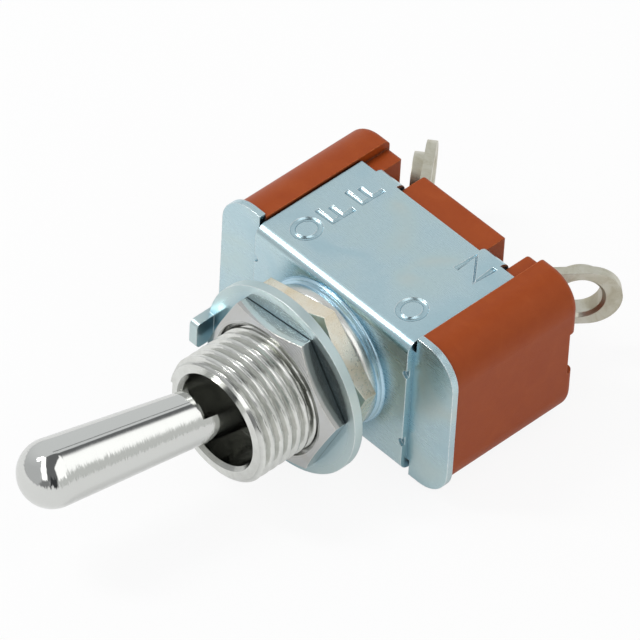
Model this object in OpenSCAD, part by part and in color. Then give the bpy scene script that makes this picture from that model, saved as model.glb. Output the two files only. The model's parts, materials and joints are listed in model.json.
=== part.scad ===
// Panel toggle switch, two positions, with two solder lugs. Units are millimetres.
// The bushing axis is the Y axis: the lever points to -Y, the lugs to +Y, and y = 0 is the front face of the
// frame. X runs along the switch, from the off end (-X) to the on end (+X).

/* [Frame] */
// Width of the frame across its front plate
frame_w = 18.7; // [17.5:0.1:19]
// Height over the two folded wings
frame_h = 15.2; // [14.6:0.1:15.6]
// Length of the wings from the front face to their back edge
wing_len = 12.4; // [11.8:0.1:12.8]
// Thickness of the frame sheet
sheet_t = 0.72; // [0.6:0.02:0.9]
// Outer radius of the two folds
fold_r = 1.1; // [1:0.05:1.5]
// Distance from the middle to each holding tab
tab_x = 6.35; // [6.2:0.05:6.45]
// Width of a holding tab
tab_w = 2.5; // [1.8:0.1:2.6]
// Outer radius of the tabs' bend
tab_r = 1.1; // [1:0.05:1.3]
// How far a tab is bent in over the back of the case
tab_drop = 2.4; // [1.5:0.1:2.8]
// Radius of the stake marks in the plate's side edges
stake_r = 0.45; // [0.3:0.05:0.6]
// Distance of the stake marks from the middle
stake_z = 4.05; // [3.4:0.05:4.6]

/* [Cover plate] */
// Length of the cover plate over its two end flanges
cover_l = 28.3; // [27.9:0.1:28.8]
// Height of the end flanges
cover_h = 16.3; // [16:0.1:16.8]
// Thickness of the cover plate
cover_t = 0.65; // [0.5:0.05:0.9]
// Corner radius of the end flanges
cover_r = 3.3; // [2.6:0.1:3.8]

/* [Case] */
// How far the cover plate's flanges stand out beyond the case
flange_over = 0.3; // [0.1:0.05:0.4]
// Corner radius of the case
case_r = 3.2; // [2.6:0.1:3.6]
// Depth of the case behind the cover plate
case_d = 14.5; // [13.8:0.1:15.2]
// Rounding of the case's back edges
back_r = 0.7; // [0.4:0.05:1]
// Rounding of the middle block's corners beside the slots
block_r = 0.4; // [0.2:0.05:0.9]
// Rounding of the back edges under the wings and of the end blocks' corners
rail_r = 0.5; // [0.3:0.05:0.7]
// Wall of the case at its ends
end_wall = 2.0; // [1.6:0.1:2.3]
// Wall of the case under the wings
side_wall = 1.8; // [1.4:0.1:2]
// Thickness of the case's floor
floor_t = 1.5; // [1.2:0.1:1.8]
// Width of the two slots in the back
slot_w = 2.8; // [2.7:0.1:3]
// Width of the groove across the back of the end blocks
groove_w = 4.7; // [3.6:0.1:5.4]
// Depth of that groove
groove_d = 0.85; // [0.5:0.05:1.2]
// Thickness of the insulating plate
insulator_t = 0.8; // [0.6:0.05:1]
// Width of the ledge that carries the insulating plate
ledge = 0.6; // [0.4:0.05:0.8]

/* [Bushing] */
// Outside diameter of the threaded bushing
bushing_d = 11.9; // [11.7:0.05:12]
// Length of the bushing in front of the frame
bushing_len = 13.1; // [12.6:0.1:14.5]
// Bore of the bushing at its mouth
mouth_d = 8.7; // [8.5:0.1:9]
// Chamfer at the bushing's end
bushing_chamfer = 0.4; // [0.2:0.05:0.5]
// Chamfer at the mouth of the bore
mouth_chamfer = 0.35; // [0.2:0.05:0.4]
// Diameter of the shoulder at the bushing's base
shoulder_d = 13.6; // [13.2:0.1:14.4]
// Height of the shoulder
shoulder_h = 1.8; // [1.2:0.05:2]
// How far the shoulder's thin foot stands out at the frame
foot_over = 0.25; // [0.1:0.05:0.4]
// Thickness of that foot
foot_t = 0.3; // [0.2:0.05:0.5]
// Wall of the bushing outside the pivot pin's ends
pin_cover = 1; // [0.8:0.1:1.3]
// Width of the keyway
key_w = 1.5; // [1.2:0.1:1.8]
// Depth of the keyway
key_d = 0.7; // [0.5:0.05:0.8]
// Angle of the keyway and the locking ring about the axis
key_angle = 0; // [-10:0.2:10]
// Diameter of the spigot that is riveted over behind the plates
spigot_d = 10.6; // [10.2:0.1:11]
// Thickness of the riveted rim
rim_t = 0.55; // [0.4:0.05:0.7]
// How far the rim stands out from the spigot
rim_over = 0.3; // [0.2:0.05:0.3]
// Half length of the guide walls beside the lever's pivot
guide_half = 2.45; // [2:0.05:2.6]

/* [Hardware] */
// Width of the hexagon nuts across their flats
nut_af = 13.7; // [13.5:0.1:14.2]
// Thickness of the rear nut
rear_nut_t = 1.85; // [1.6:0.05:2.2]
// Thickness of the front nut
front_nut_t = 1.75; // [1.6:0.05:2.2]
// Diameter of the nuts' faces inside their chamfers
nut_face_d = 13.2; // [13:0.1:13.4]
// Gap between the rear nut and the locking ring
ring_gap = 0.9; // [0:0.1:1]
// Lead-in at both ends of the nuts' bores
nut_lead = 0.35; // [0.2:0.05:0.35]
// Chamfer of the nuts' corners, along the axis
nut_chamfer = 0.62; // [0.3:0.02:0.7]
// How far the rear nut is turned
rear_nut_turn = 13.3; // [0:0.5:60]
// How far the front nut is turned
front_nut_turn = 5.6; // [0:0.5:60]
// Outside diameter of the locking ring
ring_d = 18.1; // [17.6:0.1:18.4]
// Thickness of the locking ring
ring_t = 0.9; // [0.8:0.05:1]
// Width of the ring's locating tab
ring_tab_w = 2.8; // [2.4:0.1:3.4]
// How far the tab stands in front of the ring
ring_tab_l = 1.95; // [1.4:0.05:2.4]
// Distance from the axis to the outside of the tab
ring_tab_x = 9.3; // [9.25:0.05:9.8]

/* [Lever] */
// Distance of the lever's pivot in front of the frame
pivot_dist = 6.55; // [6.3:0.05:6.8]
// Lean of the lever to either side
lever_tilt = 12.6; // [11:0.1:13]
// Distance from the pivot to the lever's tip
lever_len = 24.3; // [22:0.1:27]
// Distance from the pivot to the lever's shoulder
lever_neck = 7.5; // [7.2:0.1:8.5]
// Diameter of the lever near its tip
tip_d = 6.1; // [5.4:0.1:6.6]
// Diameter of the lever at its shoulder
neck_d = 4.9; // [4.5:0.1:5]
// Thickness of the flat neck
neck_t = 3; // [2.6:0.1:3.4]
// How far the flat neck runs past the guide walls
neck_over = 0.55; // [0.4:0.05:0.7]
// Chamfer at the lever's shoulder
lever_chamfer = 0.35; // [0.2:0.05:0.5]
// Diameter of the lever's inner barrel
barrel_d = 3.8; // [3.4:0.1:4]
// Distance from the pivot to the barrel's inner end
barrel_len = 8.2; // [7.8:0.1:8.3]
// Diameter of the pivot pin
pivot_pin_d = 1.6; // [1.2:0.1:1.8]
// Diameter of the plunger
plunger_d = 2.4; // [2:0.1:2.6]
// Distance from the pivot to the plunger's tip
plunger_reach = 12.9; // [12.4:0.1:13.2]
// Depth of the plunger's hole in the barrel
plunger_hole = 5.2; // [4.8:0.1:5.2]
// How far the plunger sits in the barrel
plunger_seat = 2.4; // [1.8:0.1:2.8]
// Wire of the plunger spring
spring_wire = 0.3; // [0.2:0.02:0.36]
// Turns of the plunger spring
spring_turns = 5; // [3:1:6]

/* [Rocker] */
// Distance of the rocker's pin behind the front face
rocker_y = 8.2; // [8:0.05:8.5]
// Tilt of the rocker to either side
rocker_tilt = 10; // [8:0.5:10.5]
// Length of the rocker
rocker_l = 15.6; // [14.6:0.1:16.6]
// Width of the rocker
rocker_w = 4; // [3.2:0.1:4.2]
// Thickness of the rocker's sheet
rocker_t = 0.8; // [0.6:0.05:0.9]
// Length of the trough beyond the plunger's resting place
trough_over = 1.1; // [0.9:0.05:1.3]
// Thickness of the rocker's ears
ear_t = 0.6; // [0.5:0.05:0.7]
// Diameter of the rocker's pin
rocker_pin_d = 1.2; // [1:0.05:1.3]
// Distance from the middle to the contacts
contact_x = 6.4; // [6:0.1:6.8]
// Diameter of the contact buttons
contact_d = 2.8; // [2.2:0.1:3.2]
// Height of the moving contact under the rocker
contact_h = 1.1; // [0.8:0.05:1.2]
// Wall round the rocker's pin, in the rocker's and the bracket's ears
ear_wall = 0.6; // [0.5:0.05:0.6]
// Thickness of the fulcrum bracket
bracket_t = 0.6; // [0.5:0.05:0.7]
// How far the small rivet heads stand out
head_over = 0.35; // [0.2:0.05:0.4]
// Thickness of the small rivet heads
head_t = 0.3; // [0.2:0.05:0.35]
// Diameter of the rivet that holds the bracket
rivet_d = 2; // [1.6:0.1:2.4]

/* [Terminals] */
// How far the off terminal's strap runs past its contact
strap_over = 0.5; // [0.3:0.1:0.8]
// Thickness of the terminals
lug_t = 0.9; // [0.8:0.05:1]
// Width of the solder lugs
lug_w = 6; // [5.4:0.1:6.4]
// Width of the terminals where they pass the case
leg_w = 4.4; // [3.6:0.1:4.8]
// Distance from the middle to the outside of a terminal's leg
leg_x = 6; // [5.95:0.05:6.3]
// Distance from the front face to the bend of the lugs
bend_y = 16.2; // [15.9:0.1:16.8]
// Splay of the lugs
splay = 39; // [20:1:45]
// Length of a lug from its bend to the centre of its round end
lug_reach = 6.4; // [5.6:0.1:7.2]
// Distance of the hole's centre from the centre of the round end
hole_back = 0.67; // [0.4:0.01:0.8]
// Diameter of the hole in a lug
lug_hole_d = 3.9; // [3.2:0.1:4.1]
// Wall of the collar drawn from the hole
collar_wall = 0.4; // [0.3:0.05:0.5]
// Height of that collar
collar_h = 0.95; // [0.5:0.05:1.1]
// Width of the rounded lead-in of the hole
hole_lead = 0.3; // [0.1:0.05:0.35]
// Inside radius of the lugs' bend
bend_r = 0.5; // [0.3:0.05:0.8]

/* [Clearances] */
// Gap between the wings and the cover plate's flanges
flange_gap = 0.3; // [0.2:0.05:0.5]
// Gap between the wings and the rails of the case
rail_gap = 0.15; // [0.1:0.05:0.3]
// Radial gap between the thread and what is screwed or slipped on it
thread_gap = 0.05; // [0.03:0.01:0.1]
// Gap round the locking ring's tongue in the keyway
key_gap = 0.1; // [0.05:0.01:0.15]
// Radial gap of the plunger in its hole
slide_gap = 0.03; // [0.02:0.01:0.05]
// Radial gap of the lever and the rocker on their pins
pin_gap = 0.04; // [0.02:0.01:0.06]
// Side gap between parts that swing past each other
swing_gap = 0.1; // [0.05:0.01:0.15]
// Gap round the insulating plate in the case
seat_gap = 0.1; // [0.05:0.01:0.15]
// Gap round the plunger in the insulating plate's window
window_gap = 0.4; // [0.3:0.05:0.6]
// Gap between the plunger's tip and the rocker
tip_gap = 0.05; // [0.03:0.01:0.1]
// Gap left between the closed contacts
contact_gap = 0.08; // [0.05:0.01:0.15]

/* [Hidden] */
$fn = 96;

eps = 0.01;
wing_z = frame_h / 2;
channel_z = wing_z - sheet_t;
frame_x = frame_w / 2;
case_l = cover_l - 2 * flange_over;
case_h = cover_h - 2 * flange_over;
cover_y = sheet_t;
case_y = cover_y + cover_t;
back_y = case_y + case_d;
slot_y = wing_len + tab_r - sheet_t;
cavity_y = slot_y - floor_t;
rail_x = frame_x + rail_gap;
cavity_x = case_l / 2 - end_wall;
cavity_z = channel_z - side_wall;
rim_back_y = case_y + rim_t;
insulator_back_y = rim_back_y + insulator_t;
rear_nut_y = -shoulder_h;
rear_front_y = rear_nut_y - rear_nut_t;
ring_y = rear_front_y - ring_gap;
front_nut_y = ring_y - ring_t;
pivot_y = -pivot_dist;
tip_r = plunger_d / 2;
pin_half = bushing_d / 2 - pin_cover;

// The rocker's trough follows the plunger's tip: its radius and centre come from the tip at rest and upright.
tip_centre = plunger_reach - tip_r;
tip_rest = [tip_centre * sin(lever_tilt), pivot_y + tip_centre * cos(lever_tilt) - rocker_y];
trough_x = tip_rest.x * cos(rocker_tilt) + tip_rest.y * sin(rocker_tilt);
trough_drop = pivot_y + tip_centre - rocker_y
    - (tip_rest.y * cos(rocker_tilt) - tip_rest.x * sin(rocker_tilt));
path_r = (trough_x * trough_x + trough_drop * trough_drop) / (2 * trough_drop);
trough_r = path_r + tip_r + tip_gap;
trough_y = pivot_y + tip_centre - rocker_y - path_r;
trough_half = trough_x + trough_over;
arm_y = trough_y + sqrt(trough_r * trough_r - trough_half * trough_half);
strap_y = cavity_y - lug_t;
bracket_y = strap_y - bracket_t;
contact_face_y = arm_y + rocker_t + contact_h;
closed_y = rocker_y + contact_x * sin(rocker_tilt) + contact_face_y * cos(rocker_tilt)
    + contact_d / 2 * sin(rocker_tilt);

// A cylinder along the bushing axis, from y0 to y1.
module disc(r, y0, y1) {
    translate([0, y1, 0])
        rotate([90, 0, 0])
            cylinder(r = r, h = y1 - y0);
}

// A cone along the bushing axis, with radius r0 at y0 and r1 at y1.
module cone(r0, r1, y0, y1) {
    translate([0, y1, 0])
        rotate([90, 0, 0])
            cylinder(r1 = r1, r2 = r0, h = y1 - y0);
}

// A box given by its lowest and highest corners.
module block(low, high) {
    translate(low)
        cube(high - low);
}

// An outline in X and Z, drawn from y0 to y1.
module slab_y(y0, y1) {
    translate([0, y1, 0])
        rotate([90, 0, 0])
            linear_extrude(y1 - y0)
                children();
}

// An outline in Y and Z, drawn from x0 to x1.
module slab_x(x0, x1) {
    translate([x0, 0, 0])
        rotate([90, 0, 90])
            linear_extrude(x1 - x0)
                children();
}

// A rectangle about the middle with rounded corners.
module rounded_rect(w, h, r) {
    square([w - 2 * r, h], center = true);
    square([w, h - 2 * r], center = true);
    for (sx = [-1, 1], sy = [-1, 1])
        translate([sx * (w / 2 - r), sy * (h / 2 - r)])
            circle(r = r);
}

// The same on both sides of the YZ plane.
module both_ends() {
    children();
    mirror([1, 0, 0])
        children();
}

module both_sides() {
    children();
    mirror([0, 0, 1])
        children();
}

// The case's outside: a rounded box whose back edges are rounded all round.
module case_body() {
    edge_x = case_l / 2 - case_r;
    edge_z = case_h / 2 - case_r;
    turn_y = back_y - back_r;
    slab_y(case_y, turn_y)
        rounded_rect(case_l, case_h, case_r);
    slab_y(turn_y - eps, back_y)
        rounded_rect(case_l - 2 * back_r, case_h - 2 * back_r, case_r - back_r);
    both_ends()
        translate([case_l / 2 - back_r, turn_y, -edge_z])
            cylinder(r = back_r, h = 2 * edge_z);
    both_sides()
        translate([-edge_x, turn_y, case_h / 2 - back_r])
            rotate([0, 90, 0])
                cylinder(r = back_r, h = 2 * edge_x);
    both_ends()
        both_sides()
            translate([edge_x, turn_y, edge_z])
                rotate([90, 0, 0])
                    rotate_extrude()
                        translate([case_r - back_r, 0])
                            circle(r = back_r);
}

// One slot across the back, for a wing's tabs and a terminal.
module back_slot() {
    block([tab_x - slot_w / 2, slot_y, -case_h], [tab_x + slot_w / 2, back_y + eps, case_h]);
    both_sides()
        block([tab_x - slot_w / 2, wing_len, wing_z - tab_r], [tab_x + slot_w / 2, slot_y + eps, case_h]);
}

// What a rounded corner at the top right of a square of side r leaves over.
module corner_waste(r) {
    difference() {
        square(r + eps);
        circle(r = r);
    }
}

// The corner at the back of a block's side at x, rounded by r; side is 1 or -1 for a side facing +X or -X.
module round_corner(x, side, r) {
    translate([x - side * r, back_y - r, -case_h])
        linear_extrude(2 * case_h)
            mirror([side > 0 ? 0 : 1, 0])
                corner_waste(r);
}

module case() {
    color([0.61, 0.28, 0.16])
        difference() {
            case_body();
            both_sides() {
                block([-rail_x, 0, channel_z], [rail_x, back_y + eps, case_h]);
                slab_x(-rail_x, rail_x)
                    translate([back_y - rail_r, channel_z - rail_r])
                        corner_waste(rail_r);
            }
            both_ends() {
                back_slot();
                round_corner(tab_x - slot_w / 2, 1, block_r);
                round_corner(tab_x + slot_w / 2, -1, rail_r);
                block([tab_x, back_y - groove_d, -groove_w / 2], [case_l, back_y + eps, groove_w / 2]);
                block([leg_x - lug_t - eps, cavity_y - eps, -leg_w / 2 - eps],
                    [leg_x + eps, slot_y + eps, leg_w / 2 + eps]);
            }
            block([-cavity_x, case_y - eps, -cavity_z], [cavity_x, cavity_y, cavity_z]);
            block([-cavity_x - ledge, case_y - eps, -cavity_z - ledge],
                [cavity_x + ledge, insulator_back_y, cavity_z + ledge]);
            disc(rivet_d / 2 + eps, cavity_y - eps, back_y + eps);
            disc(rivet_d, slot_y + rivet_d / 2, back_y + eps);
        }
}

// Section of the folded frame in Y and Z: a front plate and two wings.
module frame_section() {
    inner_r = fold_r - sheet_t;
    difference() {
        union() {
            translate([fold_r, -wing_z])
                square([wing_len - fold_r, frame_h]);
            translate([0, fold_r - wing_z])
                square([wing_len, frame_h - 2 * fold_r]);
            for (s = [-1, 1])
                translate([fold_r, s * (wing_z - fold_r)])
                    circle(r = fold_r);
        }
        translate([fold_r, -channel_z])
            square([wing_len, 2 * channel_z]);
        translate([sheet_t, inner_r - channel_z])
            square([wing_len, 2 * (channel_z - inner_r)]);
        for (s = [-1, 1])
            translate([fold_r, s * (channel_z - inner_r)])
                circle(r = inner_r);
    }
}

// Section of a tab, bent in from the wing's back edge.
module tab_section() {
    translate([wing_len - sheet_t, wing_z - sheet_t])
        square([sheet_t, sheet_t]);
    translate([wing_len, wing_z - tab_r])
        intersection() {
            difference() {
                circle(r = tab_r);
                circle(r = tab_r - sheet_t);
            }
            square(tab_r);
        }
    translate([slot_y, wing_z - tab_drop])
        square([sheet_t, tab_drop - tab_r]);
}

module frame_bracket() {
    color([0.70, 0.78, 0.81])
        difference() {
            union() {
                slab_x(-frame_x, frame_x)
                    frame_section();
                both_sides()
                    both_ends()
                        slab_x(tab_x - tab_w / 2, tab_x + tab_w / 2)
                            tab_section();
            }
            disc(spigot_d / 2 + eps, -eps, sheet_t + eps);
            for (sx = [-1, 1], sz = [-1, 1])
                translate([sx * frame_x, -eps, sz * stake_z])
                    rotate([-90, 0, 0])
                        cylinder(r = stake_r, h = sheet_t / 2);
        }
}

// The plate that closes the case: its ends stand out past the frame as flanges.
module cover_plate() {
    web_z = channel_z - (fold_r - sheet_t) - 0.02;
    color([0.68, 0.76, 0.78])
        difference() {
            slab_y(cover_y, case_y)
                rounded_rect(cover_l, cover_h, cover_r);
            both_sides()
                block([-frame_x - flange_gap, 0, web_z], [frame_x + flange_gap, back_y, cover_h]);
            disc(spigot_d / 2 + eps, cover_y - eps, case_y + eps);
        }
}

// The keyway side of the bushing and the ring, turned by the key angle.
module keyed() {
    rotate([0, -key_angle, 0])
        children();
}

module bushing() {
    r = bushing_d / 2;
    slot_z = neck_t / 2 + swing_gap;
    neck_front = pivot_y - guide_half;
    neck_back = pivot_y + guide_half;
    color([0.80, 0.80, 0.79])
        difference() {
            union() {
                disc(r, bushing_chamfer - bushing_len, 0);
                cone(r - bushing_chamfer, r, -bushing_len, bushing_chamfer - bushing_len);
                disc(shoulder_d / 2, -shoulder_h, 0);
                disc(shoulder_d / 2 + foot_over, -foot_t, 0);
                disc(spigot_d / 2, -eps, rim_back_y);
                disc(spigot_d / 2 + rim_over, case_y, rim_back_y);
            }
            disc(mouth_d / 2, -bushing_len - eps, neck_front);
            cone(mouth_d / 2 + mouth_chamfer + eps, mouth_d / 2, -bushing_len - eps,
                mouth_chamfer - bushing_len);
            intersection() {
                disc(mouth_d / 2, neck_front - eps, neck_back + eps);
                block([-mouth_d, neck_front - eps, -slot_z], [mouth_d, neck_back + eps, slot_z]);
            }
            disc(mouth_d / 2, neck_back, rim_back_y + eps);
            translate([0, pivot_y, -pin_half])
                cylinder(r = pivot_pin_d / 2, h = 2 * pin_half);
            keyed()
                block([-bushing_d, -bushing_len - eps, -key_w / 2], [key_d - r, -shoulder_h, key_w / 2]);
        }
}

// A hexagon nut from y = 0 to t, chamfered at its front corners.
module hex_nut(t, turn) {
    corner_r = nut_af / 2 / cos(30);
    slant = (corner_r - nut_face_d / 2) / nut_chamfer;
    past = nut_chamfer / 4;
    bore_r = bushing_d / 2 + thread_gap;
    difference() {
        intersection() {
            translate([0, t, 0])
                rotate([90, 0, 0])
                    rotate(turn)
                        cylinder(r = corner_r, h = t, $fn = 6);
            union() {
                cone(nut_face_d / 2, corner_r + past * slant, 0, nut_chamfer + past);
                disc(corner_r + past * slant, nut_chamfer + past, t + eps);
            }
        }
        disc(bore_r, -eps, t + eps);
        cone(bore_r + nut_lead + eps, bore_r, -eps, nut_lead);
        cone(bore_r, bore_r + nut_lead + eps, t - nut_lead, t + eps);
    }
}

module rear_nut() {
    color([0.77, 0.75, 0.68])
        translate([0, rear_front_y, 0])
            hex_nut(rear_nut_t, rear_nut_turn);
}

module front_nut() {
    color([0.73, 0.74, 0.74])
        translate([0, front_nut_y - front_nut_t, 0])
            hex_nut(front_nut_t, front_nut_turn);
}

// The locking ring: its tongue sits in the keyway, and its tab is bent forward for a hole in the panel.
module locking_ring() {
    bore_r = bushing_d / 2 + thread_gap;
    tab_in = ring_tab_x - ring_t;
    color([0.67, 0.75, 0.77])
        keyed()
            difference() {
                union() {
                    disc(ring_d / 2, front_nut_y, ring_y);
                    intersection() {
                        block([-ring_tab_x, front_nut_y - ring_tab_l, -ring_tab_w / 2],
                            [-tab_in + eps, ring_y, ring_tab_w / 2]);
                        slab_x(-ring_tab_x, -tab_in + eps)
                            translate([front_nut_y, 0])
                                rounded_rect(2 * ring_tab_l, ring_tab_w, 0.5);
                    }
                    block([-ring_tab_x, front_nut_y, -ring_tab_w / 2], [-tab_in, ring_y, ring_tab_w / 2]);
                }
                difference() {
                    disc(bore_r, front_nut_y - eps, ring_y + eps);
                    block([-2 * bore_r, front_nut_y - ring_t, key_gap - key_w / 2],
                        [key_d - bushing_d / 2 - key_gap, ring_y + ring_t, key_w / 2 - key_gap]);
                }
            }
}

// Places a piece in the lever's own frame: the pivot is the origin, and the lever points to -Y.
module on_lever() {
    translate([0, pivot_y, 0])
        rotate([0, 0, -lever_tilt])
            children();
}

module toggle_lever() {
    tip = tip_d / 2;
    neck = neck_d / 2;
    flat_end = guide_half + neck_over;
    taper_end = lever_len - tip;
    color([0.85, 0.85, 0.84])
        on_lever()
            difference() {
                union() {
                    translate([0, -taper_end, 0])
                        sphere(r = tip);
                    cone(tip, neck, -taper_end, -lever_neck - lever_chamfer);
                    cone(neck, neck - lever_chamfer, -lever_neck - lever_chamfer, -lever_neck);
                    intersection() {
                        disc(neck, -lever_neck - lever_chamfer, flat_end);
                        block([-neck, -lever_neck - lever_chamfer, -neck_t / 2],
                            [neck, flat_end, neck_t / 2]);
                    }
                    disc(barrel_d / 2, flat_end - eps, barrel_len);
                }
                translate([0, 0, -neck_d])
                    cylinder(r = pivot_pin_d / 2 + pin_gap, h = 2 * neck_d);
                disc(plunger_d / 2 + slide_gap, barrel_len - plunger_hole, barrel_len + eps);
            }
}

module pivot_pin() {
    color([0.72, 0.72, 0.72])
        translate([0, pivot_y, -pin_half])
            cylinder(r = pivot_pin_d / 2, h = 2 * pin_half);
}

module plunger() {
    color([0.93, 0.91, 0.85])
        on_lever() {
            disc(tip_r, barrel_len - plunger_seat, plunger_reach - tip_r);
            translate([0, plunger_reach - tip_r, 0])
                sphere(r = tip_r);
        }
}

// A round wire wound along a helix, as one closed tube with flat ends.
module helix_wire(radius, wire, len, turns) {
    sides = 8;
    steps = 14 * turns;
    ring = function (i) [for (j = [0:sides - 1])
        let (a = 360 * turns * i / steps, b = 360 * j / sides, d = radius + wire / 2 * cos(b))
            [d * cos(a), len * i / steps + wire / 2 * sin(b), d * sin(a)]];
    points = [for (i = [0:steps]) each ring(i)];
    walls = [for (i = [0:steps - 1], j = [0:sides - 1])
        let (k = i * sides, n = (j + 1) % sides) [k + j, k + n, k + sides + n, k + sides + j]];
    ends = [[for (j = [sides - 1:-1:0]) j], [for (j = [0:sides - 1]) steps * sides + j]];
    polyhedron(points, concat(walls, ends));
}

module plunger_spring() {
    space = plunger_hole - plunger_seat;
    color([0.62, 0.63, 0.64])
        on_lever()
            translate([0, barrel_len - plunger_hole + spring_wire / 2, 0])
                helix_wire(plunger_d / 2 - spring_wire / 2 - 0.05, spring_wire, space - spring_wire,
                    spring_turns);
}

// A sheet of insulation between the cover plate and the contacts, with a window for the plunger.
module insulating_plate() {
    half = (insulator_back_y - pivot_y) * tan(lever_tilt) + tip_r / cos(lever_tilt) + window_gap;
    color([0.32, 0.20, 0.14])
        difference() {
            slab_y(rim_back_y, insulator_back_y)
                square([2 * (cavity_x + ledge - seat_gap), 2 * (cavity_z + ledge - seat_gap)], center = true);
            slab_y(rim_back_y - eps, insulator_back_y + eps)
                square([2 * half, plunger_d + 2 * window_gap], center = true);
        }
}

// Places a piece in the rocker's own frame: the pin is the origin, and the off arm points to -X.
module on_rocker() {
    translate([0, rocker_y, 0])
        rotate([0, 0, rocker_tilt])
            children();
}

// Side view of the rocker: a trough for the plunger between two straight arms.
module rocker_section() {
    difference() {
        union() {
            translate([-rocker_l / 2, arm_y])
                square([rocker_l, rocker_t]);
            intersection() {
                translate([0, trough_y])
                    circle(r = trough_r + rocker_t);
                translate([-trough_half, arm_y])
                    square([2 * trough_half, trough_r]);
            }
        }
        translate([0, trough_y])
            circle(r = trough_r);
    }
}

module rocker() {
    pin_r = rocker_pin_d / 2;
    color([0.72, 0.45, 0.20])
        on_rocker()
            difference() {
                union() {
                    translate([0, 0, -rocker_w / 2])
                        linear_extrude(rocker_w)
                            rocker_section();
                    both_sides()
                        translate([0, 0, rocker_w / 2 - ear_t])
                            linear_extrude(ear_t)
                                difference() {
                                    union() {
                                        translate([-pin_r - ear_wall, trough_y + trough_r])
                                            square([2 * (pin_r + ear_wall), -trough_y - trough_r]);
                                        circle(r = pin_r + ear_wall);
                                    }
                                    circle(r = pin_r + pin_gap);
                                }
                }
                translate([-contact_x, arm_y - eps, 0])
                    disc(contact_d / 4, 0, rocker_t + 2 * eps);
            }
}

module rocker_pin() {
    half = rocker_w / 2 + swing_gap + bracket_t;
    color([0.70, 0.71, 0.72])
        translate([0, rocker_y, -half])
            cylinder(r = rocker_pin_d / 2, h = 2 * half);
}

module moving_contact() {
    color([0.78, 0.78, 0.76])
        on_rocker()
            translate([-contact_x, 0, 0]) {
                disc(contact_d / 4, arm_y, arm_y + rocker_t);
                disc(contact_d / 2, arm_y + rocker_t, contact_face_y);
                disc(contact_d / 4 + head_over, arm_y - head_t, arm_y);
            }
}

module fixed_contact() {
    color([0.78, 0.78, 0.76])
        translate([-contact_x * cos(rocker_tilt), 0, 0]) {
            disc(contact_d / 2, closed_y + contact_gap, strap_y);
            disc(contact_d / 4, strap_y - eps, strap_y + lug_t);
        }
}

// The bracket that carries the rocker's pin, riveted on the on terminal's strap.
module fulcrum_bracket() {
    ear_in = rocker_w / 2 + swing_gap;
    ear_r = rocker_pin_d / 2 + ear_wall;
    color([0.75, 0.60, 0.32])
        difference() {
            union() {
                block([-ear_r, bracket_y, -ear_in - bracket_t], [ear_r, strap_y, ear_in + bracket_t]);
                both_sides()
                    translate([0, 0, ear_in])
                        linear_extrude(bracket_t) {
                            translate([-ear_r, rocker_y])
                                square([2 * ear_r, strap_y - rocker_y]);
                            translate([0, rocker_y])
                                circle(r = ear_r);
                        }
            }
            translate([0, rocker_y, -rocker_w])
                cylinder(r = rocker_pin_d / 2, h = 2 * rocker_w);
            disc(rivet_d / 2, bracket_y - eps, strap_y + eps);
        }
}

module fulcrum_rivet() {
    color([0.75, 0.62, 0.36])
        difference() {
            union() {
                disc(rivet_d / 2, bracket_y, slot_y + rivet_d / 2 + eps);
                disc(rivet_d / 2 + head_over, bracket_y - head_t, bracket_y);
                disc(rivet_d - head_t, slot_y + rivet_d / 2, slot_y + rivet_d / 2 + rivet_d / 4);
            }
            disc(rivet_d / 4, slot_y, slot_y + rivet_d);
        }
}

// Side view of a terminal's leg, its bend and the straight part up to the hole, in X and Y.
module lug_side() {
    bend_out = bend_r + lug_t;
    turn = [for (i = [0:6]) splay * i / 6];
    pivot = [leg_x + bend_r, bend_y - bend_out * tan(splay / 2)];
    polygon([
        [leg_x, slot_y],
        for (a = turn) pivot + bend_r * [-cos(a), sin(a)],
        pivot + bend_r * [-cos(splay), sin(splay)] + lug_reach * [sin(splay), cos(splay)],
        pivot + bend_out * [-cos(splay), sin(splay)] + lug_reach * [sin(splay), cos(splay)],
        for (a = [for (i = [6:-1:0]) turn[i]]) pivot + bend_out * [-cos(a), sin(a)],
        [leg_x - lug_t, slot_y]
    ]);
}

// The leg and the splayed lug of the terminal at +X. The collar stands on the lug's inner or outer face.
module lug(collar_outside) {
    tip_r = lug_w / 2;
    hole_r = lug_hole_d / 2;
    hole_reach = lug_reach - hole_back;
    bend_out = bend_r + lug_t;
    pivot = [leg_x + bend_r, bend_y - bend_out * tan(splay / 2), 0];
    difference() {
        union() {
            block([leg_x - lug_t, strap_y, -leg_w / 2], [leg_x, slot_y + eps, leg_w / 2]);
            translate([0, 0, -tip_r])
                linear_extrude(lug_w)
                    lug_side();
            translate(pivot)
                rotate([0, 0, -splay]) {
                    translate([-bend_out, lug_reach, 0])
                        rotate([0, 90, 0])
                            cylinder(r = tip_r, h = lug_t);
                    translate([collar_outside ? -bend_r - eps : -bend_out - collar_h, hole_reach, 0])
                        rotate([0, 90, 0])
                            cylinder(r = hole_r + collar_wall, h = collar_h + eps);
                }
        }
        translate(pivot)
            rotate([0, 0, -splay]) {
                translate([-bend_out - 2 * collar_h, hole_reach, 0])
                    rotate([0, 90, 0])
                        cylinder(r = hole_r, h = lug_t + 4 * collar_h);
                translate([collar_outside ? -bend_out - eps : -bend_r - hole_lead, hole_reach, 0])
                    rotate([0, 90, 0])
                        cylinder(r1 = hole_r + (collar_outside ? hole_lead : 0),
                            r2 = hole_r + (collar_outside ? 0 : hole_lead), h = hole_lead + eps);
            }
    }
}

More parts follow.
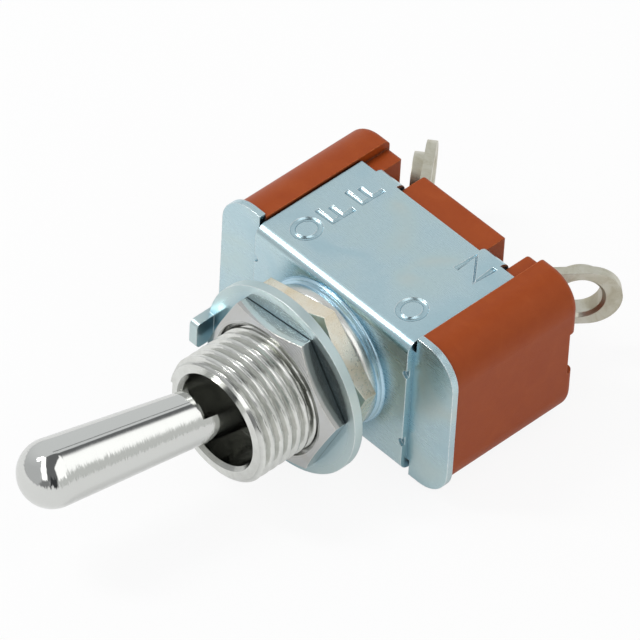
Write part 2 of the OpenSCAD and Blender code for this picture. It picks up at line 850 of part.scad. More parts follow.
module off_terminal() {
    color([0.76, 0.75, 0.68])
        mirror([1, 0, 0])
            difference() {
                union() {
                    lug(true);
                    block([leg_x - lug_t, strap_y, -leg_w / 2],
                        [contact_x * cos(rocker_tilt) + contact_d / 2 + strap_over, cavity_y, leg_w / 2]);
                    block([contact_x * cos(rocker_tilt) - contact_d / 2, strap_y, -leg_w / 2],
                        [leg_x, cavity_y, leg_w / 2]);
                }
                translate([contact_x * cos(rocker_tilt), 0, 0])
                    disc(contact_d / 4, strap_y - eps, cavity_y + eps);
            }
}

module on_terminal() {
    color([0.76, 0.75, 0.68])
        difference() {
            union() {
                lug(false);
                block([-rocker_w / 2, strap_y, -leg_w / 2], [leg_x, cavity_y, leg_w / 2]);
            }
            disc(rivet_d / 2, strap_y - eps, cavity_y + eps);
        }
}

case();
frame_bracket();
cover_plate();
bushing();
rear_nut();
locking_ring();
front_nut();
toggle_lever();
pivot_pin();
plunger();
plunger_spring();
insulating_plate();
rocker();
rocker_pin();
moving_contact();
fixed_contact();
fulcrum_bracket();
fulcrum_rivet();
off_terminal();
on_terminal();
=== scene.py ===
import bmesh
import bpy
import json
import math
from mathutils import Matrix, Vector


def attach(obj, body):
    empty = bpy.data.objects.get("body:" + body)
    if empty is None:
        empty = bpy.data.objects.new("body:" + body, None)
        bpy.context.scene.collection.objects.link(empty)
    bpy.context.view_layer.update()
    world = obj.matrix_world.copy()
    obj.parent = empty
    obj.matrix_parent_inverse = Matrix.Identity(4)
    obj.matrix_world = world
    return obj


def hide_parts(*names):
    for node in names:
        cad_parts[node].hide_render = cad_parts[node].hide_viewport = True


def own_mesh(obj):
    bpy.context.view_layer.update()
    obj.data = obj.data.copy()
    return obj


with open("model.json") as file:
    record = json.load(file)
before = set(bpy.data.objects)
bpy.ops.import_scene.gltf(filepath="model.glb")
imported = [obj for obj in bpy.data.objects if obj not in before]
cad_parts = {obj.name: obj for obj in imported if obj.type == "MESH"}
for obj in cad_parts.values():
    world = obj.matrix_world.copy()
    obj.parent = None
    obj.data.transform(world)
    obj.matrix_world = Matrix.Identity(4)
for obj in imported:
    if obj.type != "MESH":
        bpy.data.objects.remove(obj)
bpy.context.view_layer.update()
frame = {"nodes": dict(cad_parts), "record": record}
MM = 0.001

# ---------------------------------------------------------------- places on the CAD part, in millimetres
END_Y = -13.1
WING_Z = 7.6
LEVER_LEAN = math.radians(12.6)
PIVOT_Y = -6.55
NUT_BACK = -5.45

# ---------------------------------------------------------------- sizes of the added detail, in millimetres
# The crest stays just inside the solid's plain cylinder, so that the whole length is cut.
THREAD_R = 5.93
THREAD_ROOT = 5.38
PITCH = 1.0
THREAD_BACK = -6.2
# The thread's root flat and its flank, as shares of half a pitch; the crest takes what is left.
ROOT_SHARE = 0.16
FLANK_SHARE = 0.62
# Length over which the thread runs out, and the cone that leads it in.
THREAD_FADE = 0.6
LEAD_R = 5.53
LEAD_LENGTH = 0.42
# The body that the bushing is cut to: well clear of it, and fine enough for a smooth helix.
ENVELOPE_R = 9.0
ENVELOPE_BACK = 3.0
ENVELOPE_FRONT_GAP = 0.5
SEGMENTS = 160
STEPS_PER_PITCH = 14
# Radius and place of the polished shoulder's round, its groove and the thin rim at the frame.
SHOULDER = [(ENVELOPE_R, -1.9), (6.45, -1.9), (6.52, -1.74), (6.66, -1.6), (6.74, -1.42), (6.77, -1.2),
            (6.77, -0.95), (6.72, -0.76), (6.6, -0.62), (6.6, -0.5), (6.72, -0.38), (6.9, -0.27),
            (7.0, -0.17), (7.02, -0.06), (ENVELOPE_R, -0.06)]
# Width of the stamp's round tool, and how deep it sinks in the wing.
STAMP_W = 0.64
STAMP_D = 0.17
LETTER_HALF_W = 1.1
LETTER_HALF_H = 1.25
# The letters of OFF and ON, each with its middle in X and Y.
LETTERS = (("O", -6.4, 3.15), ("F", -6.4, 6.6), ("F", -6.4, 10.05), ("O", 6.45, 3.2), ("N", 6.45, 10.6))
# Radii between which the locking ring's face turns rougher towards its rim.
RING_RIM = (8.1, 8.5)

# ---------------------------------------------------------------- node helpers


class Graph:
    """The node tree of a material or a world, with short calls for the nodes used here."""

    def __init__(self, owner, output="ShaderNodeOutputMaterial"):
        owner.use_nodes = True
        self.owner = owner
        self.tree = owner.node_tree
        self.tree.nodes.clear()
        self.out = self.node(output)

    def node(self, kind, **values):
        n = self.tree.nodes.new(kind)
        for key, value in values.items():
            setattr(n, key, value)
        return n

    def put(self, socket, value):
        if isinstance(value, bpy.types.NodeSocket):
            self.tree.links.new(value, socket)
        else:
            socket.default_value = value

    def math(self, op, a, b=0.0, clamp=False):
        n = self.node("ShaderNodeMath", operation=op, use_clamp=clamp)
        self.put(n.inputs[0], a)
        self.put(n.inputs[1], b)
        return n.outputs[0]

    def add(self, a, b):
        return self.math("ADD", a, b)

    def times(self, a, b):
        return self.math("MULTIPLY", a, b)

    def vector(self, op, a, b=(0.0, 0.0, 0.0)):
        n = self.node("ShaderNodeVectorMath", operation=op)
        self.put(n.inputs[0], a)
        self.put(n.inputs[1], b)
        return n.outputs["Vector"]

    def dot(self, a, b):
        n = self.node("ShaderNodeVectorMath", operation="DOT_PRODUCT")
        self.put(n.inputs[0], a)
        self.put(n.inputs[1], b)
        return n.outputs["Value"]

    def coords(self, scale=(1, 1, 1), turn=(0, 0, 0)):
        """Object coordinates in millimetres, turned and scaled."""
        tc = self.node("ShaderNodeTexCoord")
        m = self.node("ShaderNodeMapping")
        self.put(m.inputs["Vector"], tc.outputs["Object"])
        m.inputs["Rotation"].default_value = turn
        m.inputs["Scale"].default_value = [1000 * s for s in scale]
        return m.outputs[0]

    def normal(self):
        return self.node("ShaderNodeNewGeometry").outputs["Normal"]

    def split(self, vector):
        n = self.node("ShaderNodeSeparateXYZ")
        self.put(n.inputs[0], vector)
        return n.outputs

    def noise(self, vector, scale, detail=3.0, rough=0.55, distortion=0.0):
        n = self.node("ShaderNodeTexNoise")
        self.put(n.inputs["Vector"], vector)
        n.inputs["Scale"].default_value = scale
        n.inputs["Detail"].default_value = detail
        n.inputs["Roughness"].default_value = rough
        n.inputs["Distortion"].default_value = distortion
        return n.outputs["Fac"]

    def ramp(self, fac, stops):
        n = self.node("ShaderNodeValToRGB")
        self.put(n.inputs[0], fac)
        e = n.color_ramp.elements
        while len(e) < len(stops):
            e.new(0.5)
        for item, (place, colour) in zip(e, stops):
            item.position = place
            item.color = colour
        return n.outputs[0]

    def range(self, value, a, b, lo, hi):
        """The value carried from the range a to b over to the range lo to hi, and held at its ends."""
        n = self.node("ShaderNodeMapRange")
        self.put(n.inputs[0], value)
        for i, v in enumerate((a, b, lo, hi)):
            n.inputs[i + 1].default_value = v
        return n.outputs[0]

    def step(self, value, a, b):
        """0 below a and 1 above b, with a smooth rise between them."""
        n = self.node("ShaderNodeMapRange", interpolation_type="SMOOTHSTEP")
        self.put(n.inputs[0], value)
        n.inputs[1].default_value = a
        n.inputs[2].default_value = b
        return n.outputs[0]

    def mix(self, fac, a, b):
        n = self.node("ShaderNodeMix", data_type="RGBA")
        self.put(n.inputs[0], fac)
        self.put(n.inputs[6], a)
        self.put(n.inputs[7], b)
        return n.outputs[2]

    def bump(self, height, strength, distance, normal):
        n = self.node("ShaderNodeBump")
        self.put(n.inputs["Height"], height)
        n.inputs["Strength"].default_value = strength
        n.inputs["Distance"].default_value = distance * MM
        self.put(n.inputs["Normal"], normal)
        return n.outputs[0]

    def bevel(self, radius):
        n = self.node("ShaderNodeBevel", samples=6)
        n.inputs["Radius"].default_value = radius * MM
        return n.outputs[0]

    def crevice(self, distance, low, high):
        """1 in corners and gaps narrower than a distance in millimetres, and 0 in the open: the mask for
        painted shade there.
        """
        n = self.node("ShaderNodeAmbientOcclusion", samples=8)
        n.inputs["Distance"].default_value = distance * MM
        return self.range(n.outputs["AO"], low, high, 1.0, 0.0)

    def radius(self):
        """Distance from the bushing's axis in millimetres."""
        x, _, z = self.split(self.coords())
        return self.math("SQRT", self.add(self.times(x, x), self.times(z, z)))

    def edges(self, radius, grain=6.0):
        """1 on sharp edges and 0 away from them, broken up by a fine noise: the mask for painted highlights
        along edges.
        """
        sharp = self.range(self.dot(self.bevel(radius), self.normal()), 0.995, 0.93, 0.0, 1.0)
        wear_and_glint = self.range(self.noise(self.coords(), grain, 4.0, 0.7), 0.38, 0.58, 0.15, 1.0)
        return self.times(sharp, wear_and_glint)

    def surface(self, **values):
        p = self.node("ShaderNodeBsdfPrincipled")
        for key, value in values.items():
            self.put(p.inputs[key.replace("_", " ")], value)
        self.tree.links.new(p.outputs[0], self.out.inputs["Surface"])
        return self.owner


def material(name):
    return Graph(bpy.data.materials.new(name))


def col(r, g, b):
    """A display colour, 0 to 255, as a linear one."""
    def linear(v):
        return v / 255 / 12.92 if v <= 10 else ((v / 255 + 0.055) / 1.055) ** 2.4

    return (linear(r), linear(g), linear(b), 1)


# ---------------------------------------------------------------- materials


def zinc(name, low=0.20, high=0.28, tone=0.0, rim=0.0):
    """Bright zinc plate: satin, with faint blue, green and straw clouds and small rubs."""
    g = material(name)
    v = g.coords()
    clouds = g.noise(v, 0.16, 2.0, 0.5, 0.6)
    base = g.ramp(clouds, [(0.30, col(184, 212, 221)), (0.48, col(193, 217, 224)),
                           (0.62, col(196, 218, 221)), (0.78, col(204, 217, 214))])
    specks = g.range(g.noise(v, 3.5, 4.0, 0.7), 0.42, 0.72, 0.0, 1.0)
    base = g.mix(g.times(specks, 0.10), base, col(140, 160, 172))
    base = g.mix(tone, base, col(222, 222, 206))
    # painted shade: corners and narrow gaps darken towards a deep teal
    base = g.mix(g.times(g.crevice(2.0, 0.45, 0.95), 0.6), base, col(112, 158, 178))
    # painted highlight: sharp edges lighten almost to white
    base = g.mix(g.edges(0.12), base, col(244, 248, 248))
    rub = g.range(g.noise(g.coords((0.35, 5, 5), (0.3, 0.2, 0.5)), 1.6, 5.0, 0.7), 0.35, 0.7, 0.0, 1.0)
    rough = g.add(g.range(clouds, 0.3, 0.7, low, high), g.times(rub, 0.07))
    if rim:
        rough = g.add(rough, g.range(g.radius(), *RING_RIM, 0.0, rim))
    fine = g.add(g.noise(v, 9.0, 3.0, 0.6), g.times(rub, 0.5))
    normal = g.bump(fine, 0.12, 0.02, g.bevel(0.10))
    return g.surface(Base_Color=base, Metallic=1.0, Roughness=rough, Normal=normal)


def phenolic(name):
    """Moulded thermoset: opaque orange-brown, satin, with fine flow mottling."""
    g = material(name)
    v = g.coords()
    mottle = g.noise(v, 0.5, 4.0, 0.6, 0.8)
    grain = g.noise(v, 11.0, 4.0, 0.7)
    base = g.ramp(mottle, [(0.3, col(154, 64, 12)), (0.55, col(158, 68, 15)), (0.75, col(162, 72, 20))])
    base = g.mix(g.range(grain, 0.5, 0.75, 0.0, 0.14), base, col(118, 46, 12))
    # painted highlight: sharp edges lighten to a pale orange
    base = g.mix(g.times(g.edges(0.16, 3.0), 0.75), base, col(206, 112, 58))
    # painted shade: corners and narrow gaps, such as beside the frame's edges, darken to a deep brown
    base = g.mix(g.crevice(0.7, 0.42, 0.80), base, col(58, 22, 8))
    rough = g.range(grain, 0.3, 0.7, 0.42, 0.52)
    height = g.add(g.times(mottle, 0.5), grain)
    normal = g.bump(height, 0.16, 0.03, g.bevel(0.14))
    return g.surface(Base_Color=base, Roughness=rough, Specular_IOR_Level=0.28, Normal=normal)


def chrome_lever(name, tint, rough=0.065):
    """Chrome on a round bar: short polishing marks round the bar, which fray the edges of what it mirrors."""
    g = material(name)
    turn = g.node("ShaderNodeVectorRotate", rotation_type="Z_AXIS")
    g.put(turn.inputs["Vector"], g.coords())
    turn.inputs["Angle"].default_value = LEVER_LEAN
    marks = g.noise(g.vector("MULTIPLY", turn.outputs[0], (0.5, 9.0, 0.5)), 1.3, 5.0, 0.7)
    normal = g.normal()
    axis = g.node("ShaderNodeVectorTransform", vector_type="VECTOR",
                  convert_from="OBJECT", convert_to="WORLD")
    axis.inputs[0].default_value = (math.sin(LEVER_LEAN), math.cos(LEVER_LEAN), 0)
    around = g.vector("CROSS_PRODUCT", axis.outputs[0], normal)
    # The marks tip the normal round the bar: hardly where it faces up, and fully on its sides.
    sides = g.range(g.split(normal)[2], 0.86, 0.72, 0.03, 1.0)
    lean = g.times(g.times(g.math("SUBTRACT", marks, 0.5), 0.55), sides)
    shift = g.node("ShaderNodeVectorMath", operation="SCALE")
    g.put(shift.inputs[0], around)
    g.put(shift.inputs["Scale"], lean)
    ragged = g.vector("NORMALIZE", g.vector("ADD", normal, shift.outputs[0]))
    haze = g.noise(g.coords(), 0.35, 3.0, 0.6, 0.4)
    r = g.add(g.range(haze, 0.3, 0.7, rough * 0.8, rough * 1.25),
              g.times(g.range(marks, 0.55, 0.75, 0.0, 1.0), 0.06))
    return g.surface(Base_Color=tint, Metallic=1.0, Roughness=r, Normal=ragged)


def threaded(name, tint, foot_tint):
    """Chromed thread: clean satin ridges, and a shoulder with fine rings that turns blue towards its foot."""
    g = material(name)
    v = g.coords()
    y = g.split(v)[1]
    foot = g.range(y, -0.95, -0.55, 0.0, 1.0)
    side = g.range(y, -2.4, -2.2, 0.0, 1.0)
    rings = g.noise(g.coords((0.03, 5.0, 0.03)), 2.6, 4.0, 0.7)
    wear = g.noise(v, 1.4, 4.0, 0.6)
    wear_and_glint = (tint[0] * 0.9, tint[1] * 0.9, tint[2] * 0.89, 1)
    base = g.mix(foot, g.ramp(wear, [(0.35, tint), (0.7, wear_and_glint)]), foot_tint)
    # Painted shade: roots are darker than crests, apart from faces across the axis, and the bore is a little
    # darker inside.
    radius = g.radius()
    flat = g.range(g.math("ABSOLUTE", g.split(g.normal())[1]), 0.8, 0.95, 1.0, 0.0)
    root = g.times(g.range(radius, THREAD_ROOT, THREAD_R - 0.1, 0.35, 0.0), flat)
    base = g.mix(root, base, col(96, 98, 96))
    base = g.mix(g.range(radius, 4.5, 4.7, 0.2, 0.0), base, col(130, 130, 120))
    r = g.add(g.range(wear, 0.3, 0.7, 0.13, 0.20), g.times(side, 0.03))
    height = g.add(g.times(rings, g.times(side, 3.0)), g.times(wear, 0.25))
    normal = g.bump(height, 0.35, 0.02, g.bevel(0.05))
    return g.surface(Base_Color=base, Metallic=1.0, Roughness=r, Normal=normal)


def turned(name, tint, warm, rough=0.16, joint=None):
    """Turned and plated metal: rings on the faces across the Y axis, and draw lines along the flats."""
    rings_per_mm = 5.5
    g = material(name)
    v = g.coords()
    rings = g.math("SINE", g.times(g.radius(), 2 * math.pi * rings_per_mm))
    jitter = g.noise(v, 2.5, 5.0, 0.75)
    face = g.range(g.math("ABSOLUTE", g.split(g.normal())[1]), 0.35, 0.6, 0.0, 1.0)
    along = g.noise(g.coords((0.4, 5.0, 0.4)), 2.0, 4.0, 0.7)
    height = g.add(g.times(g.times(rings, face), 0.35), g.add(g.times(jitter, 0.4), g.times(along, 0.15)))
    base = g.ramp(g.noise(v, 0.3, 3.0, 0.6, 0.5), [(0.35, tint), (0.7, warm)])
    # sharp edges lighten: partly a painted highlight, partly plating rubbed bright
    base = g.mix(g.edges(0.10), base, col(250, 248, 240))
    if joint is not None:
        # a painted shadow: a dark line along the nut's back edge, in the gap where it meets the ring
        base = g.mix(g.range(g.split(v)[1], joint - 0.09, joint - 0.06, 0.0, 0.9), base, col(20, 24, 26))
    r = g.add(g.range(jitter, 0.3, 0.7, rough * 0.8, rough * 1.3), g.times(face, 0.06))
    normal = g.bump(height, 0.25, 0.012, g.bevel(0.07))
    return g.surface(Base_Color=base, Metallic=1.0, Roughness=r, Normal=normal)


def silvered(name):
    """Dull silver plate with a straw tarnish and small handling marks."""
    g = material(name)
    v = g.coords()
    tarnish = g.noise(v, 0.55, 5.0, 0.65, 0.8)
    base = g.ramp(tarnish, [(0.32, col(214, 212, 200)), (0.52, col(205, 202, 186)),
                            (0.72, col(186, 180, 158))])
    spots = g.range(g.noise(v, 4.5, 3.0, 0.6), 0.62, 0.78, 0.0, 0.5)
    base = g.mix(spots, base, col(150, 142, 120))
    rough = g.range(tarnish, 0.3, 0.7, 0.34, 0.46)
    height = g.add(g.noise(v, 7.0, 4.0, 0.7), g.noise(g.coords((5, 0.4, 5), (0, 0, 0.68)), 1.5, 4.0, 0.7))
    normal = g.bump(height, 0.14, 0.02, g.bevel(0.08))
    return g.surface(Base_Color=base, Metallic=1.0, Roughness=rough, Normal=normal)


def plain_metal(name, tint, rough):
    """Bare drawn or rolled metal with soft darker patches."""
    g = material(name)
    n = g.noise(g.coords(), 3.0, 4.0, 0.65)
    dark = (tint[0] * 0.6, tint[1] * 0.6, tint[2] * 0.6, 1)
    base = g.mix(g.range(n, 0.35, 0.7, 0.0, 0.4), tint, dark)
    r = g.range(n, 0.3, 0.7, rough * 0.8, rough * 1.25)
    normal = g.bump(n, 0.12, 0.02, g.bevel(0.05))
    return g.surface(Base_Color=base, Metallic=1.0, Roughness=r, Normal=normal)


def matte(name, tint, dark, scale):
    """A dull non-metal, mottled between two colours."""
    g = material(name)
    n = g.noise(g.coords(), scale, 5.0, 0.65, 0.3)
    base = g.ramp(n, [(0.35, tint), (0.7, dark)])
    rough = g.range(n, 0.3, 0.7, 0.5, 0.65)
    normal = g.bump(n, 0.2, 0.03, g.bevel(0.06))
    return g.surface(Base_Color=base, Roughness=rough, Normal=normal)


M = {
    "zinc_steel": zinc("zinc_plate"),
    "phenolic": phenolic("moulded_phenolic"),
    "chromed_brass": chrome_lever("chrome_plate", col(216, 217, 214)),
    "nickel_brass": turned("nickel_bright", col(198, 200, 200), col(190, 189, 185), rough=0.11,
                           joint=NUT_BACK),
    "silvered_brass": silvered("silver_plate"),
    "pin_steel": plain_metal("drawn_steel", col(190, 192, 194), 0.22),
    "copper_alloy": plain_metal("bronze_sheet", col(206, 160, 92), 0.30),
    "silver": plain_metal("contact_silver", col(222, 222, 218), 0.24),
    "nylon": matte("natural_nylon", col(232, 226, 208), col(214, 206, 184), 1.2),
    "fibre": matte("pressed_fibre", col(92, 58, 38), col(66, 40, 26), 4.0),
}
rear_mat = turned("nickel_warm", col(250, 246, 232), col(238, 222, 192), rough=0.28)
ring_mat = zinc("zinc_ring", 0.12, 0.17, tone=0.3, rim=0.22)
thread_mat = threaded("chrome_thread", col(226, 227, 223), col(184, 214, 229))

slots = {s["node"]: s["material_slot"] for s in frame["record"]["subparts"]}


def dress(obj, mat):
    obj.data.materials.clear()
    obj.data.materials.append(mat)


for name, obj in frame["nodes"].items():
    dress(obj, M[slots[name]])
dress(frame["nodes"]["rear_nut"], rear_mat)
dress(frame["nodes"]["locking_ring"], ring_mat)

# ---------------------------------------------------------------- mesh helpers


def link(name, data):
    obj = bpy.data.objects.new(name, data)
    bpy.context.scene.collection.objects.link(obj)
    return obj


def new_object(name, verts, faces):
    mesh = bpy.data.meshes.new(name)
    mesh.from_pydata([(x * MM, y * MM, z * MM) for x, y, z in verts], [], faces)
    mesh.update()
    return link(name, mesh)


def copy_of(node, name):
    mesh = frame["nodes"][node].data.copy()
    mesh.name = name
    return link(name, mesh)


def evaluated_mesh(obj):
    """The object's mesh with its modifiers, or a curve's with its round section."""
    dg = bpy.context.evaluated_depsgraph_get()
    return bpy.data.meshes.new_from_object(obj.evaluated_get(dg))


def weld(obj):
    """Joins the vertices that the file format split along its edges, and drops its stored normals."""
    bm = bmesh.new()
    bm.from_mesh(obj.data)
    bmesh.ops.remove_doubles(bm, verts=bm.verts, dist=1e-7)
    bmesh.ops.recalc_face_normals(bm, faces=bm.faces)
    bm.to_mesh(obj.data)
    bm.free()
    if obj.data.has_custom_normals:
        with bpy.context.temp_override(object=obj, active_object=obj):
            bpy.ops.mesh.customdata_custom_splitnormals_clear()


def smooth(obj, angle):
    obj.data.shade_smooth()
    obj.data.set_sharp_from_angle(angle=math.radians(angle))


def apply_boolean(obj, cutter, operation):
    mod = obj.modifiers.new("cut", "BOOLEAN")
    mod.operation = operation
    mod.solver = "EXACT"
    mod.object = cutter
    done = evaluated_mesh(obj)
    obj.modifiers.clear()
    obj.data = done
    bpy.data.objects.remove(cutter, do_unlink=True)


# ---------------------------------------------------------------- threaded bushing


def thread_radius(angle, y):
    """Radius of a rounded right-hand thread: crest and root are flats joined by smooth flanks."""
    phase = ((y - END_Y) / PITCH - angle / (2 * math.pi)) % 1.0
    from_root = abs(phase - 0.5) * 2
    t = min(1.0, max(0.0, (from_root - ROOT_SHARE) / FLANK_SHARE))
    t = t * t * (3 - 2 * t)
    depth = THREAD_R - THREAD_ROOT
    fade = min(1.0, max(0.0, (THREAD_BACK - y) / THREAD_FADE))
    r = THREAD_R - depth * (1 - t) * fade
    lead = LEAD_R + (y - END_Y)
    return min(r, lead) if y < END_Y + LEAD_LENGTH else r


def thread_envelope():
    """A closed body with the thread's and the shoulder's outline, and well clear of the bushing elsewhere."""
    angles = [2 * math.pi * i / SEGMENTS for i in range(SEGMENTS)]
    rows = []
    y = END_Y
    while y < THREAD_BACK + 1e-6:
        rows.append([(thread_radius(a, y), y, a) for a in angles])
        y += PITCH / STEPS_PER_PITCH
    last = rows[-1][0][1]
    for r, y in [(ENVELOPE_R, last)] + SHOULDER + [(ENVELOPE_R, ENVELOPE_BACK)]:
        rows.append([(r, y, a) for a in angles])
    verts = [(r * math.sin(a), y, r * math.cos(a)) for row in rows for r, y, a in row]
    faces = []
    for j in range(len(rows) - 1):
        for i in range(SEGMENTS):
            k = (i + 1) % SEGMENTS
            faces.append((j * SEGMENTS + i, (j + 1) * SEGMENTS + i, (j + 1) * SEGMENTS + k, j * SEGMENTS + k))
    faces.append(tuple((len(rows) - 1) * SEGMENTS + i for i in reversed(range(SEGMENTS))))
    # The front cap stands a little off the bushing's own end, so the two never share a plane.
    low = len(verts)
    verts += [(r * math.sin(a), y - ENVELOPE_FRONT_GAP, r * math.cos(a)) for r, y, a in rows[0]]
    for i in range(SEGMENTS):
        k = (i + 1) % SEGMENTS
        faces.append((low + i, i, k, low + k))
    faces.append(tuple(low + i for i in range(SEGMENTS)))
    return new_object("thread_envelope", verts, faces)


bushing = copy_of("bushing", "threaded_bushing")
weld(bushing)
envelope = thread_envelope()
weld(envelope)
apply_boolean(bushing, envelope, "INTERSECT")
weld(bushing)
dress(bushing, thread_mat)
smooth(bushing, 38)
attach(bushing, "housing")
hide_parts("bushing")

# ---------------------------------------------------------------- stamped position words on the upper wing


def stroke(points, closed, width):
    """One stroke of the stamp: a round bar along the points, to be sunk in the sheet."""
    curve = bpy.data.curves.new("stroke", "CURVE")
    curve.dimensions = "3D"
    curve.bevel_depth = width / 2 * MM
    curve.bevel_resolution = 5
    curve.use_fill_caps = True
    s = curve.splines.new("POLY")
    s.points.add(len(points) - 1)
    for p, (x, y, z) in zip(s.points, points):
        p.co = (x * MM, y * MM, z * MM, 1)
    s.use_cyclic_u = closed
    path = link("stroke", curve)
    mesh = evaluated_mesh(path)
    bpy.data.objects.remove(path, do_unlink=True)
    return link("stroke", mesh)


def letter(kind, cx, cy):
    """Strokes of a letter centred on cx, cy, each with whether it closes. Its top points to -Y."""
    w, h = LETTER_HALF_W, LETTER_HALF_H
    if kind == "O":
        loop = [(w * math.cos(t), h * math.sin(t)) for t in [2 * math.pi * i / 40 for i in range(40)]]
        return [([(cx - u, cy - v) for u, v in loop], True)]
    lines = {
        "N": [[(-w, -h), (-w, h), (w, -h), (w, h)]],
        "F": [[(-w * 0.8, -h), (-w * 0.8, h), (w, h)], [(-w * 0.8, 0.1), (w * 0.6, 0.1)]],
    }[kind]
    return [([(cx - u, cy - v) for u, v in line], False) for line in lines]


frame_stamped = copy_of("frame_bracket", "stamped_frame")
weld(frame_stamped)
for kind, cx, cy in LETTERS:
    for pts, closed in letter(kind, cx, cy):
        z = WING_Z + STAMP_W / 2 - STAMP_D
        bar = stroke([(x, y, z) for x, y in pts], closed, STAMP_W)
        apply_boolean(frame_stamped, bar, "DIFFERENCE")
weld(frame_stamped)
dress(frame_stamped, M["zinc_steel"])
smooth(frame_stamped, 35)
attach(frame_stamped, "housing")
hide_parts("frame_bracket")

# ---------------------------------------------------------------- plunger spring, carried by the lever, with a mesh of its own
spring = copy_of("plunger_spring", "coil_spring")
weld(spring)
dress(spring, M["pin_steel"])
smooth(spring, 40)
outwards = Vector((-math.sin(LEVER_LEAN), -math.cos(LEVER_LEAN), 0))
pivot = Vector((0, PIVOT_Y * MM, 0))
reach = [(v.co - pivot).dot(outwards) for v in spring.data.vertices]
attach(spring, "lever")
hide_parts("plunger_spring")
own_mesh(spring)

# ---------------------------------------------------------------- stage: floor, lamp, world and camera
scene = bpy.context.scene
scene.view_settings.view_transform = "Standard"

# The switch rests on the ring and on the case's back edge, so the floor is tipped to meet them.
FLOOR_HALF = 1500
front = Vector((0, -4.55, -9.05))
back = Vector((0, 15.21, -7.85))
slope = math.atan2(back.z - front.z, back.y - front.y)
floor_corners = [(x * FLOOR_HALF, y * FLOOR_HALF, 0) for x, y in ((-1, -1), (1, -1), (1, 1), (-1, 1))]
floor = new_object("floor", floor_corners, [(0, 1, 2, 3)])
floor.location = front * MM
floor.rotation_euler = (slope, 0, 0)
# The floor glows almost white where it is seen and less where it is mirrored, and otherwise scatters light.
g = material("floor_white")
light = g.node("ShaderNodeLightPath")
mirrored = g.add(light.outputs["Is Glossy Ray"], light.outputs["Is Transmission Ray"])
seen = g.math("ADD", g.times(light.outputs["Is Camera Ray"], 0.9), g.times(mirrored, 0.4), clamp=True)
plain = g.node("ShaderNodeBsdfDiffuse")
plain.inputs["Color"].default_value = (0.86, 0.86, 0.86, 1)
glow = g.node("ShaderNodeEmission")
glow.inputs["Color"].default_value = (1, 1, 1, 1)
glow.inputs["Strength"].default_value = 1.0
both = g.node("ShaderNodeMixShader")
g.put(both.inputs[0], seen)
g.put(both.inputs[1], plain.outputs[0])
g.put(both.inputs[2], glow.outputs[0])
g.put(g.out.inputs["Surface"], both.outputs[0])
dress(floor, g.owner)

world = bpy.data.worlds.new("studio")
scene.world = world
sky_graph = Graph(world, "ShaderNodeOutputWorld")
looking = sky_graph.node("ShaderNodeTexCoord").outputs["Generated"]


def lobe(direction, inner, outer):
    """1 near a direction and 0 away from it, with both angles in degrees."""
    near = sky_graph.dot(looking, Vector(direction).normalized())
    return sky_graph.step(near, math.cos(math.radians(outer)), math.cos(math.radians(inner)))


def aim(az, el):
    """A direction: azimuth from the lever's end towards +X, and elevation, in degrees."""
    az, el = math.radians(az), math.radians(el)
    return Vector((math.sin(az) * math.cos(el), -math.cos(az) * math.cos(el), math.sin(el)))


def patch(corners, soft):
    """1 inside the polygon that some directions span, and 0 outside it."""
    dirs = [aim(az, el) for az, el in corners]
    middle = sum(dirs, Vector())
    inside = None
    for a, b in zip(dirs, dirs[1:] + dirs[:1]):
        normal = a.cross(b).normalized()
        if normal.dot(middle) < 0:
            normal = -normal
        side = sky_graph.step(sky_graph.dot(looking, normal), -soft, soft)
        inside = side if inside is None else sky_graph.times(inside, side)
    return inside


# A grey room, lighter high up behind the off end and low beside the on end. Each patch has its corners as
# azimuth and elevation, the softness of its edge, and its colour; later ones lie over earlier ones.
PATCHES = [
    # a thin dark line high up behind
    ([(-162.1, 49.3), (-159.4, 48.2), (-132, 64.4), (-134.5, 66)], 0.008, (0.12, 0.12, 0.13, 1)),
    # a dim patch low in front
    ([(8, -3), (42, -3), (38, 24), (16, 16)], 0.05, (0.26, 0.265, 0.27, 1)),
    # the gap between the two softboxes
    ([(33, 22), (-65, 70), (-169, 60), (177, 58), (62, 12)], 0.015, (0.16, 0.165, 0.17, 1)),
    # a dark patch low at the front of the on side
    ([(41, -4), (66, -4), (63, 28), (43, 28)], 0.05, (0.05, 0.052, 0.055, 1)),
    # the softbox over the on end
    ([(69, 15), (61, 60), (177, 65.5), (106, 27)], 0.02, (1.45, 1.45, 1.45, 1)),
    # the softbox in front
    ([(-65, 60), (-65, 70), (33, 22), (17, 17)], 0.03, (1.9, 1.9, 1.9, 1)),
]
sky = sky_graph.mix(lobe((-0.5, 0.5, 0.7), 25, 80), (0.56, 0.57, 0.58, 1), (0.74, 0.755, 0.765, 1))
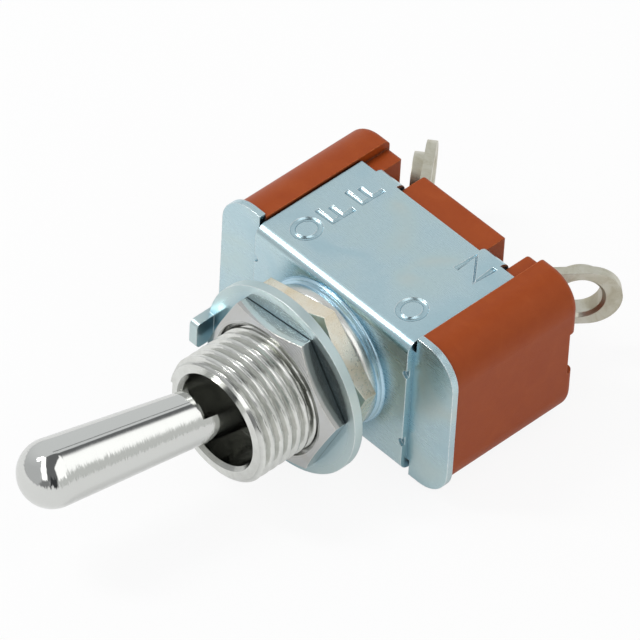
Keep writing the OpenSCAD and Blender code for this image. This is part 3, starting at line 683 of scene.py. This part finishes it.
sky = sky_graph.mix(lobe((0.97, 0.22, 0.08), 22, 60), sky, (0.68, 0.69, 0.68, 1))
for corners, soft, colour in PATCHES:
    sky = sky_graph.mix(patch(corners, soft), sky, colour)
sky = sky_graph.mix(sky_graph.node("ShaderNodeLightPath").outputs["Is Camera Ray"], sky, (1, 1, 1, 1))
background = sky_graph.node("ShaderNodeBackground")
sky_graph.put(background.inputs["Color"], sky)
background.inputs["Strength"].default_value = 1.0
sky_graph.put(sky_graph.out.inputs["Surface"], background.outputs[0])


def lamp(name, direction, distance, size, power):
    """An area lamp aimed at the origin, with its distance and size in millimetres and its power in watts."""
    data = bpy.data.lights.new(name, "AREA")
    data.shape = "RECTANGLE"
    data.size, data.size_y = size[0] * MM, size[1] * MM
    data.energy = power
    obj = link(name, data)
    d = Vector(direction).normalized()
    obj.location = d * distance * MM
    obj.rotation_mode = "QUATERNION"
    obj.rotation_quaternion = (-d).to_track_quat("-Z", "Y")


lamp("key", (-0.46, -0.40, 0.80), 400, (60, 140), 0.5)

# The camera stands where the object is seen as in the photo: azimuth, elevation, roll, distance, and how far
# the view's middle lies right of and above the origin. Lengths are in millimetres.
AZ, EL, ROLL = math.radians(44.323), math.radians(45.035), math.radians(3.281)
DISTANCE = 724.26
MIDDLE_RIGHT = -0.67
MIDDLE_UP = 2.521
d = Vector((math.sin(AZ) * math.cos(EL), -math.cos(AZ) * math.cos(EL), math.sin(EL)))
level_right = (-d).cross(Vector((0, 0, 1))).normalized()
level_up = level_right.cross(-d)
right = level_right * math.cos(ROLL) + level_up * math.sin(ROLL)
up = level_up * math.cos(ROLL) - level_right * math.sin(ROLL)
cam_data = bpy.data.cameras.new("camera")
cam_data.sensor_width = 36.0
cam_data.lens = 480.84
cam_data.clip_start, cam_data.clip_end = 0.01, 10.0
camera = link("camera", cam_data)
place = Matrix((right, up, d)).transposed().to_4x4()
place.translation = (right * MIDDLE_RIGHT + up * MIDDLE_UP + d * DISTANCE) * MM
camera.matrix_world = place
scene.camera = camera
